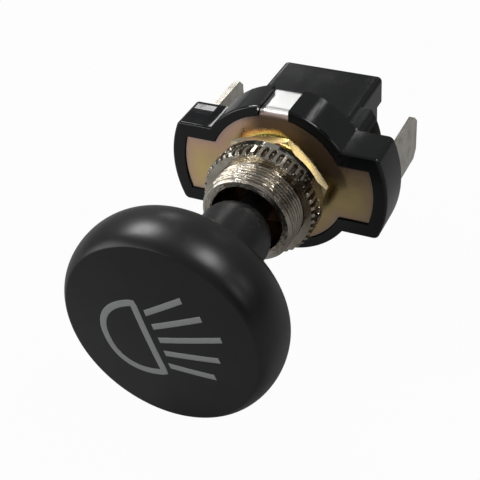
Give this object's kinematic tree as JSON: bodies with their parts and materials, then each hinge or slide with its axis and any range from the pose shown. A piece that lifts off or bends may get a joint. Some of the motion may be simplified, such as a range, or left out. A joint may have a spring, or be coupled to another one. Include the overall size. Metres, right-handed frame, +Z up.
{
  "type": "pull switch",
  "caption": "Push-pull headlamp switch: a mushroom knob on a rod through a threaded panel neck with nuts, a winged moulded housing with a gilt plate, and blade terminals behind.",
  "frame": {"origin": "on the pull axis, in the plane of the housing's front rim, at the root of the threaded neck", "axes": "-Y is the way the knob is pulled, +Y towards the terminals, X along the two ears of the plate, +Z up through the folded tab seen in the picture"},
  "size_m": [0.0294, 0.0523, 0.026],
  "materials": {
    "knob_plastic": "satin black moulding",
    "housing_plastic": "glossy black thermoset",
    "nickel": "nickel plate over brass",
    "yellow_zinc": "yellow passivated zinc",
    "tinned_brass": "dull tin plate",
    "rod_steel": "turned",
    "spring_steel": "rolled strip",
    "contact_silver": "silver",
    "carrier_plastic": "moulded thermoset",
    "laminate": "pressed paper laminate",
    "fibre": "vulcanised fibre"
  },
  "bodies": {
    "switch_body": {"threaded_bush": "nickel", "guide_disc": "laminate", "ring_nut": "nickel", "hex_nut": "yellow_zinc", "mounting_plate": "yellow_zinc", "insulating_sheet": "fibre", "housing": "housing_plastic", "left_terminal": "tinned_brass", "right_terminal": "tinned_brass", "left_contact": "contact_silver", "right_contact": "contact_silver"},
    "pull_knob": {"knob": "knob_plastic", "pull_rod": "rod_steel", "rod_clip": "spring_steel", "contact_carrier": "carrier_plastic", "bridge_contact": "tinned_brass", "left_bridge_button": "contact_silver", "right_bridge_button": "contact_silver", "contact_spring": "spring_steel", "left_detent_spring": "spring_steel", "right_detent_spring": "spring_steel", "left_detent_ball": "rod_steel", "right_detent_ball": "rod_steel"}
  },
  "joints": [
    {"name": "knob_pull", "type": "slide", "parent": "switch_body", "child": "pull_knob", "axis": [0, -1, 0], "range_m": [-0.0065, 0]}
  ]
}
